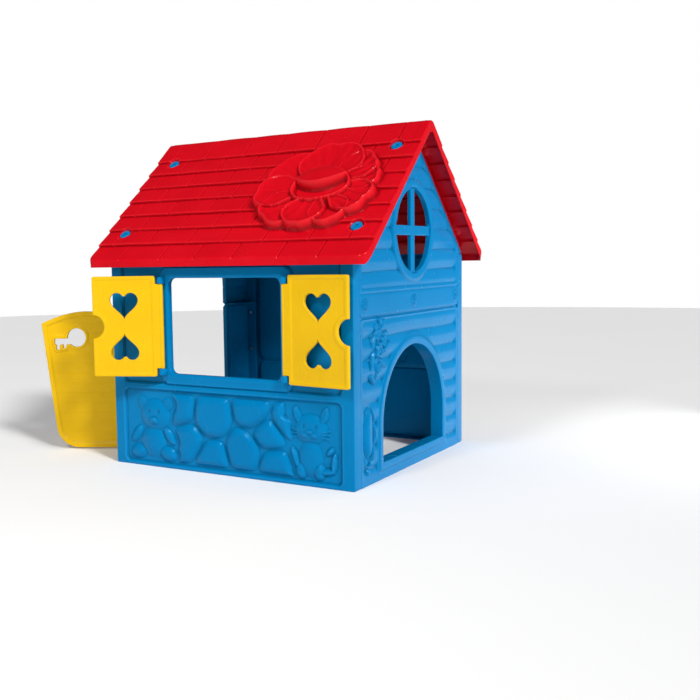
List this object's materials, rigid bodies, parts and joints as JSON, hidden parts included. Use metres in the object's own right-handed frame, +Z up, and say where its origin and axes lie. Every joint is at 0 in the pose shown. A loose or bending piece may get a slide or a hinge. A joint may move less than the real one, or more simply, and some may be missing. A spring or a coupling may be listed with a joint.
{
  "type": "plastic playhouse",
  "caption": "Small moulded plastic playhouse with a shingled pitched roof, shuttered windows, a half door and a crawl-through arch.",
  "frame": {"origin": "on the ground, midway between the outer faces of the four walls", "axes": "+X along the ridge towards the gable with the crawl arch, -Y out of the front wall, +Z up"},
  "size_m": [1.2871, 0.9607, 1.06],
  "materials": {
    "red_plastic": "glossy moulded polypropylene",
    "blue_plastic": "satin moulded polypropylene",
    "yellow_plastic": "satin moulded polypropylene",
    "zinc_steel": "zinc plated"
  },
  "bodies": {
    "house": {"front_wall": "blue_plastic", "back_wall": "blue_plastic", "right_gable_lower": "blue_plastic", "right_gable_upper": "blue_plastic", "left_gable_lower": "blue_plastic", "left_gable_upper": "blue_plastic", "roof_front": "red_plastic", "roof_rear": "red_plastic", "roof_bolts_front": "blue_plastic", "roof_bolts_rear": "blue_plastic", "ridge_screws": "zinc_steel", "ridge_nuts": "zinc_steel", "band_screws_right": "blue_plastic", "band_screws_left": "blue_plastic", "corner_screws_front_left": "zinc_steel", "corner_screws_front_right": "zinc_steel", "corner_screws_back_left": "zinc_steel", "corner_screws_back_right": "zinc_steel"},
    "front_left_shutter": {"front_left_shutter": "yellow_plastic"},
    "front_right_shutter": {"front_right_shutter": "yellow_plastic"},
    "back_left_shutter": {"back_left_shutter": "yellow_plastic"},
    "back_right_shutter": {"back_right_shutter": "yellow_plastic"},
    "half_door": {"door": "yellow_plastic"}
  },
  "joints": [
    {"name": "front_left_shutter_hinge", "type": "hinge", "parent": "house", "child": "front_left_shutter", "pos_m": [-0.22, -0.42, 0.4445], "axis": [0, 0, 1], "range_deg": [-23, 157]},
    {"name": "front_right_shutter_hinge", "type": "hinge", "parent": "house", "child": "front_right_shutter", "pos_m": [0.22, -0.42, 0.4445], "axis": [0, 0, 1], "range_deg": [-174, 6]},
    {"name": "back_left_shutter_hinge", "type": "hinge", "parent": "house", "child": "back_left_shutter", "pos_m": [-0.22, 0.42, 0.4445], "axis": [0, 0, 1], "range_deg": [0, 180]},
    {"name": "back_right_shutter_hinge", "type": "hinge", "parent": "house", "child": "back_right_shutter", "pos_m": [0.22, 0.42, 0.4445], "axis": [0, 0, 1], "range_deg": [-180, 0]},
    {"name": "door_hinge", "type": "hinge", "parent": "house", "child": "half_door", "pos_m": [-0.447, -0.18, 0.24], "axis": [0, 0, 1], "range_deg": [-117.5, 45]}
  ]
}
